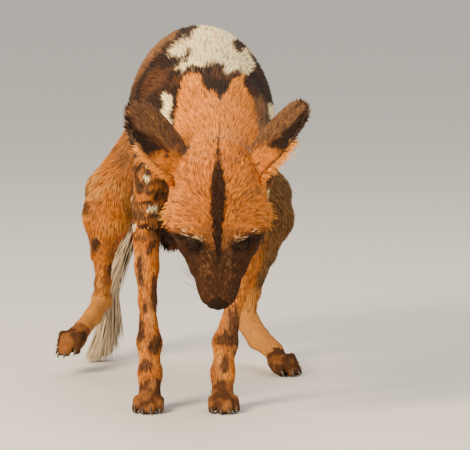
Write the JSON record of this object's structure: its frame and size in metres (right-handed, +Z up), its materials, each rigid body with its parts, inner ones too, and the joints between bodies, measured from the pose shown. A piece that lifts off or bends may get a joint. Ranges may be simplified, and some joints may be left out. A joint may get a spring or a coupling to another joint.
{
  "type": "african wild dog",
  "caption": "Life-size still model of a male African wild dog, standing half crouched with its head hung low, hind legs spread and the right hind foot just off the floor.",
  "frame": {"origin": "on the floor, under the middle of the whole dog's box", "axes": "+Z up, the dog looks towards -Y and its left side is at +X"},
  "size_m": [0.4266, 0.9188, 0.6103],
  "materials": {
    "coat": "short matte coat in tan, black and white patches",
    "brush_hair": "long soft white hair",
    "nose_leather": "damp grained black skin",
    "eye": "wet gloss"
  },
  "bodies": {
    "root": {"ear_left": "coat", "ear_right": "coat", "eye_left": "eye", "eye_right": "eye", "foreleg_left": "coat", "foreleg_right": "coat", "forepaw_left": "coat", "forepaw_right": "coat", "head": "coat", "hindfoot_left": "coat", "hindfoot_right": "coat", "neck": "coat", "nose": "nose_leather", "shank_left": "coat", "shank_right": "coat", "tail": "coat", "tail_brush": "brush_hair", "thigh_left": "coat", "thigh_right": "coat", "torso": "coat"}
  },
  "joints": []
}
